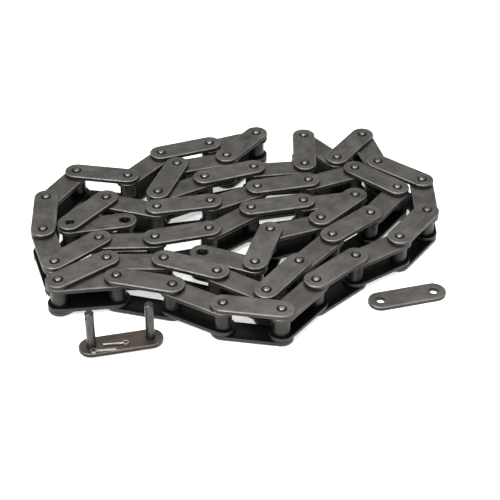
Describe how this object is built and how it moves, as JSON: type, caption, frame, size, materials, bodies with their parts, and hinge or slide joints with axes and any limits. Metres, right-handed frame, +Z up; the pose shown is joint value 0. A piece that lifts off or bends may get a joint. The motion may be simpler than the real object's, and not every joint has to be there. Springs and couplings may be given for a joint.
{
  "type": "roller chain",
  "caption": "Straight-sided double-pitch roller chain in a loose coil, with a cottered connecting link, its cover plate and two cotter pins beside it.",
  "frame": {"origin": "centre of the footprint, on the surface the chain lies on", "axes": "+X to the right along the coil's rows, +Y away from the viewer, +Z up along the pins"},
  "size_m": [0.2864, 0.2378, 0.032],
  "materials": {
    "link_steel": "dark oiled steel, worn bright on its edges",
    "outer_steel": "dark oiled steel with fine grain and a little rust",
    "pin_steel": "ground steel, oiled",
    "cotter_steel": "light drawn wire"
  },
  "bodies": {
    "inner_link_01": {"inner_link_01": "link_steel"},
    "outer_link_01": {"outer_link_01": "outer_steel"},
    "inner_link_02": {"inner_link_02": "link_steel"},
    "outer_link_02": {"outer_link_02": "outer_steel"},
    "inner_link_03": {"inner_link_03": "link_steel"},
    "outer_link_03": {"outer_link_03": "outer_steel"},
    "inner_link_04": {"inner_link_04": "link_steel"},
    "outer_link_04": {"outer_link_04": "outer_steel"},
    "inner_link_05": {"inner_link_05": "link_steel"},
    "outer_link_05": {"outer_link_05": "outer_steel"},
    "inner_link_06": {"inner_link_06": "link_steel"},
    "outer_link_06": {"outer_link_06": "outer_steel"},
    "inner_link_07": {"inner_link_07": "link_steel"},
    "outer_link_07": {"outer_link_07": "outer_steel"},
    "inner_link_08": {"inner_link_08": "link_steel"},
    "outer_link_08": {"outer_link_08": "outer_steel"},
    "inner_link_09": {"inner_link_09": "link_steel"},
    "outer_link_09": {"outer_link_09": "outer_steel"},
    "inner_link_10": {"inner_link_10": "link_steel"},
    "outer_link_10": {"outer_link_10": "outer_steel"},
    "inner_link_11": {"inner_link_11": "link_steel"},
    "outer_link_11": {"outer_link_11": "outer_steel"},
    "inner_link_12": {"inner_link_12": "link_steel"},
    "outer_link_12": {"outer_link_12": "outer_steel"},
    "inner_link_13": {"inner_link_13": "link_steel"},
    "outer_link_13": {"outer_link_13": "outer_steel"},
    "inner_link_14": {"inner_link_14": "link_steel"},
    "outer_link_14": {"outer_link_14": "outer_steel"},
    "inner_link_15": {"inner_link_15": "link_steel"},
    "outer_link_15": {"outer_link_15": "outer_steel"},
    "inner_link_16": {"inner_link_16": "link_steel"},
    "outer_link_16": {"outer_link_16": "outer_steel"},
    "inner_link_17": {"inner_link_17": "link_steel"},
    "outer_link_17": {"outer_link_17": "outer_steel"},
    "inner_link_18": {"inner_link_18": "link_steel"},
    "outer_link_18": {"outer_link_18": "outer_steel"},
    "inner_link_19": {"inner_link_19": "link_steel"},
    "outer_link_19": {"outer_link_19": "outer_steel"},
    "inner_link_20": {"inner_link_20": "link_steel"},
    "outer_link_20": {"outer_link_20": "outer_steel"},
    "inner_link_21": {"inner_link_21": "link_steel"},
    "outer_link_21": {"outer_link_21": "outer_steel"},
    "inner_link_22": {"inner_link_22": "link_steel"},
    "outer_link_22": {"outer_link_22": "outer_steel"},
    "inner_link_23": {"inner_link_23": "link_steel"},
    "outer_link_23": {"outer_link_23": "outer_steel"},
    "inner_link_24": {"inner_link_24": "link_steel"},
    "outer_link_24": {"outer_link_24": "outer_steel"},
    "inner_link_25": {"inner_link_25": "link_steel"},
    "outer_link_25": {"outer_link_25": "outer_steel"},
    "inner_link_26": {"inner_link_26": "link_steel"},
    "outer_link_26": {"outer_link_26": "outer_steel"},
    "inner_link_27": {"inner_link_27": "link_steel"},
    "connecting_link": {"connecting_plate": "outer_steel", "connecting_pins": "pin_steel"},
    "cover_plate": {"cover_plate": "outer_steel"},
    "cotter_pin_1": {"cotter_pin_1": "cotter_steel"},
    "cotter_pin_2": {"cotter_pin_2": "cotter_steel"}
  },
  "joints": [
    {"name": "pin_joint_01", "type": "hinge", "parent": "outer_link_01", "child": "inner_link_01", "pos_m": [-0.11461, -0.00739, 0.01379], "axis": [0, 0, -1], "range_deg": [0, 2.9]},
    {"name": "pin_joint_02", "type": "hinge", "parent": "inner_link_02", "child": "outer_link_01", "pos_m": [-0.09222, 0.02343, 0.01379], "axis": [0, 0, -1], "range_deg": [0, 2.3]},
    {"name": "pin_joint_03", "type": "hinge", "parent": "outer_link_02", "child": "inner_link_02", "pos_m": [-0.05559, 0.01293, 0.01379], "axis": [0, 0, 1], "range_deg": [0, 1.45]},
    {"name": "pin_joint_04", "type": "hinge", "parent": "inner_link_03", "child": "outer_link_02", "pos_m": [-0.01833, 0.02085, 0.01379], "axis": [0, 0, 1], "range_deg": [0, 0.79]},
    {"name": "pin_joint_05", "type": "hinge", "parent": "outer_link_03", "child": "inner_link_03", "pos_m": [0.015, 0.03932, 0.01379], "axis": [0, 0, -1], "range_deg": [0, 0.54]},
    {"name": "pin_joint_06", "type": "hinge", "parent": "inner_link_04", "child": "outer_link_03", "pos_m": [0.05196, 0.04854, 0.01379], "axis": [0, 0, 1], "range_deg": [0, 0.42]},
    {"name": "pin_joint_07", "type": "hinge", "parent": "outer_link_04", "child": "inner_link_04", "pos_m": [0.08649, 0.06464, 0.01379], "axis": [0, 0, -1], "range_deg": [0, 0.27]},
    {"name": "pin_joint_08", "type": "hinge", "parent": "inner_link_05", "child": "outer_link_04", "pos_m": [0.11568, 0.04015, 0.01379], "axis": [0, 0, -1], "range_deg": [0, 0.21]},
    {"name": "pin_joint_09", "type": "hinge", "parent": "outer_link_05", "child": "inner_link_05", "pos_m": [0.09438, 0.00857, 0.01379], "axis": [0, 0, -1], "range_deg": [0, 0.24]},
    {"name": "pin_joint_10", "type": "hinge", "parent": "inner_link_06", "child": "outer_link_05", "pos_m": [0.06651, -0.01742, 0.01379], "axis": [0, 0, 1], "range_deg": [0, 0.27]},
    {"name": "pin_joint_11", "type": "hinge", "parent": "outer_link_06", "child": "inner_link_06", "pos_m": [0.04305, -0.04744, 0.01379], "axis": [0, 0, 1], "range_deg": [0, 0.15]},
    {"name": "pin_joint_12", "type": "hinge", "parent": "inner_link_07", "child": "outer_link_06", "pos_m": [0.0212, -0.07865, 0.01379], "axis": [0, 0, -1], "range_deg": [0, 0.34]},
    {"name": "pin_joint_13", "type": "hinge", "parent": "outer_link_07", "child": "inner_link_07", "pos_m": [-0.01146, -0.05903, 0.01379], "axis": [0, 0, 1], "range_deg": [0, 0.34]},
    {"name": "pin_joint_14", "type": "hinge", "parent": "inner_link_08", "child": "outer_link_07", "pos_m": [-0.04726, -0.046, 0.01379], "axis": [0, 0, -1], "range_deg": [0, 0.48]},
    {"name": "pin_joint_15", "type": "hinge", "parent": "outer_link_08", "child": "inner_link_08", "pos_m": [-0.08535, -0.04666, 0.01379], "axis": [0, 0, 1], "range_deg": [0, 0.24]},
    {"name": "pin_joint_16", "type": "hinge", "parent": "inner_link_09", "child": "outer_link_08", "pos_m": [-0.11496, -0.07064, 0.01379], "axis": [0, 0, 1], "range_deg": [0, 0.2]},
    {"name": "pin_joint_17", "type": "hinge", "parent": "outer_link_09", "child": "inner_link_09", "pos_m": [-0.07723, -0.06534, 0.01379], "axis": [0, 0, -1], "range_deg": [0, 0.18]},
    {"name": "pin_joint_18", "type": "hinge", "parent": "inner_link_10", "child": "outer_link_09", "pos_m": [-0.04011, -0.07391, 0.01379], "axis": [0, 0, -1], "range_deg": [0, 0.58]},
    {"name": "pin_joint_19", "type": "hinge", "parent": "outer_link_10", "child": "inner_link_10", "pos_m": [-0.00679, -0.09238, 0.01379], "axis": [0, 0, -1], "range_deg": [0, 0.44]},
    {"name": "pin_joint_20", "type": "hinge", "parent": "inner_link_11", "child": "outer_link_10", "pos_m": [0.03094, -0.09768, 0.01379], "axis": [0, 0, 1], "range_deg": [0, 0.11]},
    {"name": "pin_joint_21", "type": "hinge", "parent": "inner_link_11", "child": "outer_link_11", "pos_m": [0.05387, -0.06725, 0.01379], "axis": [0, 0, -1], "range_deg": [0, 0.15]},
    {"name": "pin_joint_22", "type": "hinge", "parent": "outer_link_11", "child": "inner_link_12", "pos_m": [0.08128, -0.04079, 0.01379], "axis": [0, 0, -1], "range_deg": [0, 0.29]},
    {"name": "pin_joint_23", "type": "hinge", "parent": "inner_link_12", "child": "outer_link_12", "pos_m": [0.11249, -0.01893, 0.01379], "axis": [0, 0, -1], "range_deg": [0, 0.32]},
    {"name": "pin_joint_24", "type": "hinge", "parent": "outer_link_12", "child": "inner_link_13", "pos_m": [0.13434, 0.01228, 0.01379], "axis": [0, 0, -1], "range_deg": [0, 0.28]},
    {"name": "pin_joint_25", "type": "hinge", "parent": "inner_link_13", "child": "outer_link_13", "pos_m": [0.13434, 0.05038, 0.01379], "axis": [0, 0, -1], "range_deg": [0, 0.27]},
    {"name": "pin_joint_26", "type": "hinge", "parent": "outer_link_13", "child": "inner_link_14", "pos_m": [0.10391, 0.07331, 0.01379], "axis": [0, 0, 1], "range_deg": [0, 0.24]},
    {"name": "pin_joint_27", "type": "hinge", "parent": "inner_link_14", "child": "outer_link_14", "pos_m": [0.0947, 0.11027, 0.01379], "axis": [0, 0, -1], "range_deg": [0, 0.31]},
    {"name": "pin_joint_28", "type": "hinge", "parent": "outer_link_14", "child": "inner_link_15", "pos_m": [0.07394, 0.07832, 0.01379], "axis": [0, 0, 1], "range_deg": [0, 0.27]},
    {"name": "pin_joint_29", "type": "hinge", "parent": "inner_link_15", "child": "outer_link_15", "pos_m": [0.04997, 0.10793, 0.01379], "axis": [0, 0, -1], "range_deg": [0, 0.39]},
    {"name": "pin_joint_30", "type": "hinge", "parent": "outer_link_15", "child": "inner_link_16", "pos_m": [0.04997, 0.06983, 0.01379], "axis": [0, 0, 1], "range_deg": [0, 0.32]},
    {"name": "pin_joint_31", "type": "hinge", "parent": "inner_link_16", "child": "outer_link_16", "pos_m": [0.01224, 0.06453, 0.01379], "axis": [0, 0, -1], "range_deg": [0, 0.54]},
    {"name": "pin_joint_32", "type": "hinge", "parent": "outer_link_16", "child": "inner_link_17", "pos_m": [-0.02333, 0.05087, 0.01379], "axis": [0, 0, 1], "range_deg": [0, 0.48]},
    {"name": "pin_joint_33", "type": "hinge", "parent": "inner_link_17", "child": "outer_link_17", "pos_m": [-0.05599, 0.03125, 0.01379], "axis": [0, 0, 1], "range_deg": [0, 0.66]},
    {"name": "pin_joint_34", "type": "hinge", "parent": "outer_link_17", "child": "inner_link_18", "pos_m": [-0.04421, 0.06749, 0.01379], "axis": [0, 0, 1], "range_deg": [0, 0.5]},
    {"name": "pin_joint_35", "type": "hinge", "parent": "inner_link_18", "child": "outer_link_18", "pos_m": [-0.00798, 0.07926, 0.01379], "axis": [0, 0, -1], "range_deg": [0, 0.5]},
    {"name": "pin_joint_36", "type": "hinge", "parent": "outer_link_18", "child": "inner_link_19", "pos_m": [0.01387, 0.11047, 0.01379], "axis": [0, 0, -1], "range_deg": [0, 0.49]},
    {"name": "pin_joint_37", "type": "hinge", "parent": "inner_link_19", "child": "outer_link_19", "pos_m": [-0.0212, 0.09558, 0.01379], "axis": [0, 0, 1], "range_deg": [0, 0.4]},
    {"name": "pin_joint_38", "type": "hinge", "parent": "outer_link_19", "child": "inner_link_20", "pos_m": [-0.05677, 0.08193, 0.01379], "axis": [0, 0, -1], "range_deg": [0, 0.94]},
    {"name": "pin_joint_39", "type": "hinge", "parent": "inner_link_20", "child": "outer_link_20", "pos_m": [-0.07916, 0.0511, 0.01379], "axis": [0, 0, 1], "range_deg": [0, 0.7]},
    {"name": "pin_joint_40", "type": "hinge", "parent": "outer_link_20", "child": "inner_link_21", "pos_m": [-0.11689, 0.05641, 0.01379], "axis": [0, 0, -1], "range_deg": [0, 0.62]},
    {"name": "pin_joint_41", "type": "hinge", "parent": "inner_link_21", "child": "outer_link_21", "pos_m": [-0.13478, 0.02277, 0.01379], "axis": [0, 0, -1], "range_deg": [0, 0.6]},
    {"name": "pin_joint_42", "type": "hinge", "parent": "outer_link_21", "child": "inner_link_22", "pos_m": [-0.13212, -0.01524, 0.01379], "axis": [0, 0, -1], "range_deg": [0, 0.68]},
    {"name": "pin_joint_43", "type": "hinge", "parent": "inner_link_22", "child": "outer_link_22", "pos_m": [-0.11972, -0.05126, 0.01379], "axis": [0, 0, -1], "range_deg": [0, 0.74]},
    {"name": "pin_joint_44", "type": "hinge", "parent": "outer_link_22", "child": "inner_link_23", "pos_m": [-0.09278, -0.02432, 0.01379], "axis": [0, 0, 1], "range_deg": [0, 2]},
    {"name": "pin_joint_45", "type": "hinge", "parent": "inner_link_23", "child": "outer_link_23", "pos_m": [-0.05473, -0.02233, 0.01379], "axis": [0, 0, 1], "range_deg": [0, 2.3]},
    {"name": "pin_joint_46", "type": "hinge", "parent": "outer_link_23", "child": "inner_link_24", "pos_m": [-0.0181, -0.01183, 0.01379], "axis": [0, 0, -1], "range_deg": [0, 1.92]},
    {"name": "pin_joint_47", "type": "hinge", "parent": "inner_link_24", "child": "outer_link_24", "pos_m": [0.01065, 0.01317, 0.01379], "axis": [0, 0, 1], "range_deg": [0, 5.95]},
    {"name": "pin_joint_48", "type": "hinge", "parent": "outer_link_24", "child": "inner_link_25", "pos_m": [0.04762, 0.02238, 0.01379], "axis": [0, 0, -1], "range_deg": [0, 3.1]},
    {"name": "pin_joint_49", "type": "hinge", "parent": "inner_link_25", "child": "outer_link_25", "pos_m": [0.08489, 0.03031, 0.01379], "axis": [0, 0, 1], "range_deg": [0, 1.38]},
    {"name": "pin_joint_50", "type": "hinge", "parent": "outer_link_25", "child": "inner_link_26", "pos_m": [0.05939, 0.00199, 0.01379], "axis": [0, 0, 1], "range_deg": [0, 1.7]},
    {"name": "pin_joint_51", "type": "hinge", "parent": "inner_link_26", "child": "outer_link_26", "pos_m": [0.02407, -0.01228, 0.01379], "axis": [0, 0, -1], "range_deg": [0, 5.09]},
    {"name": "pin_joint_52", "type": "hinge", "parent": "outer_link_26", "child": "inner_link_27", "pos_m": [0.01357, -0.0489, 0.01379], "axis": [0, 0, 1], "range_deg": [0, 2.8]},
    {"name": "connecting_link_lift", "type": "slide", "parent": "inner_link_11", "child": "connecting_link", "axis": [0, 0, 1], "range_m": [0, 0.05]},
    {"name": "cover_plate_lift", "type": "slide", "parent": "inner_link_11", "child": "cover_plate", "axis": [0, 0, 1], "range_m": [0, 0.05]},
    {"name": "cotter_pin_1_lift", "type": "slide", "parent": "connecting_link", "child": "cotter_pin_1", "axis": [0, 0, 1], "range_m": [0, 0.05]},
    {"name": "cotter_pin_2_lift", "type": "slide", "parent": "connecting_link", "child": "cotter_pin_2", "axis": [0, 0, 1], "range_m": [0, 0.05]}
  ]
}
